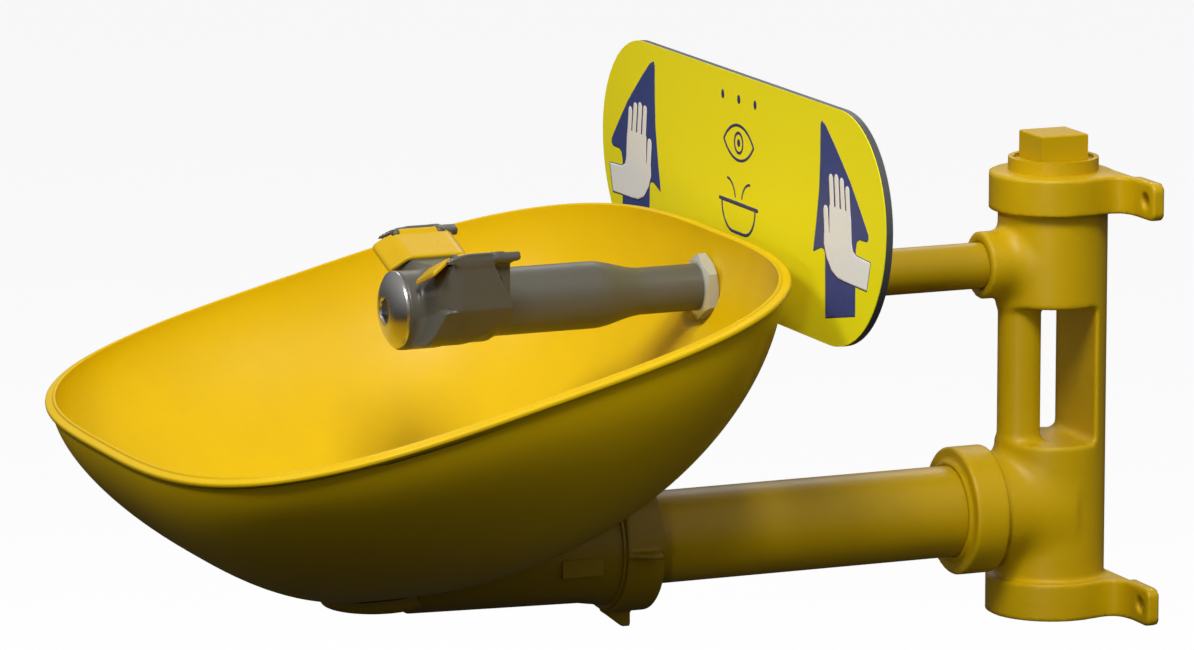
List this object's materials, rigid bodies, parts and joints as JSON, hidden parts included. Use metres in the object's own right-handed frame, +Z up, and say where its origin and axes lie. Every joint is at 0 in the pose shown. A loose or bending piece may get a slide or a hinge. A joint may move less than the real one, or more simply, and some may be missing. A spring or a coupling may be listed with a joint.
{
  "type": "eyewash station",
  "caption": "Wall-mounted eyewash station: twin-nozzle spray head in a yellow bowl, fed and drained through a cast bracket, with a push panel that opens its ball valve.",
  "frame": {"origin": "centre of the four wall bolts, on the wall plane", "axes": "+Z up, +Y into the wall, +X to the right of a user who faces the wall"},
  "size_m": [0.3266, 0.4981, 0.2608],
  "materials": {
    "yellow_casting": "mustard yellow satin powder coat on a casting",
    "yellow_pipe": "mustard yellow satin powder coat on steel pipe",
    "yellow_moulding": "mustard yellow moulded plastic",
    "bowl_yellow": "golden yellow moulded plastic, soft gloss",
    "cover_yellow": "golden yellow moulded plastic",
    "grey_moulding": "warm dark grey moulded plastic, half gloss",
    "rose_plastic": "dark grey moulded plastic",
    "seal_rubber": "black rubber",
    "stainless": "polished stainless steel",
    "nickel": "bright nickel plate",
    "brass": "machined brass",
    "seat_plastic": "white sealing plastic",
    "chrome_ball": "polished chrome plate",
    "panel_grey": "dark grey plastic board",
    "label_yellow": "printed lemon yellow face sheet"
  },
  "bodies": {
    "station": {"bracket_casting": "yellow_casting", "top_plug": "yellow_casting", "supply_pipe": "yellow_pipe", "waste_pipe": "yellow_pipe", "slip_nut": "yellow_moulding", "slip_washer": "seal_rubber", "drain_housing": "yellow_moulding", "drain_gasket": "seal_rubber", "drain_strainer": "stainless", "strainer_screw": "stainless", "bowl": "bowl_yellow", "tube_locknut": "nickel", "wall_washer": "seal_rubber", "backing_nut": "nickel", "spray_body": "grey_moulding", "flow_regulator": "grey_moulding", "end_cap": "stainless", "cap_seal": "seal_rubber", "spray_rose_right": "rose_plastic", "spray_rose_left": "rose_plastic", "cover_pin_right": "stainless", "cover_pin_left": "stainless", "valve_body": "brass", "valve_adapter": "brass", "valve_seats": "seat_plastic", "stem_packing": "seat_plastic", "gland_nut": "brass"},
    "push_handle": {"valve_ball": "chrome_ball", "valve_stem": "brass", "handle_yoke": "stainless", "handle_nut": "nickel", "push_panel": "panel_grey", "panel_label": "label_yellow", "panel_screws": "stainless", "panel_nuts": "nickel"},
    "cover_right": {"dust_cover_right": "cover_yellow"},
    "cover_left": {"dust_cover_left": "cover_yellow"}
  },
  "joints": [
    {"name": "push_handle_hinge", "type": "hinge", "parent": "station", "child": "push_handle", "pos_m": [0, -0.163, 0.0614], "axis": [-1, 0, 0], "range_deg": [0, 90]},
    {"name": "right_cover_hinge", "type": "hinge", "parent": "station", "child": "cover_right", "pos_m": [0.03542, -0.331, 0.08889], "axis": [0, 1, 0], "range_deg": [0, 110]},
    {"name": "left_cover_hinge", "type": "hinge", "parent": "station", "child": "cover_left", "pos_m": [-0.03542, -0.331, 0.08889], "axis": [0, -1, 0], "range_deg": [0, 110]}
  ]
}
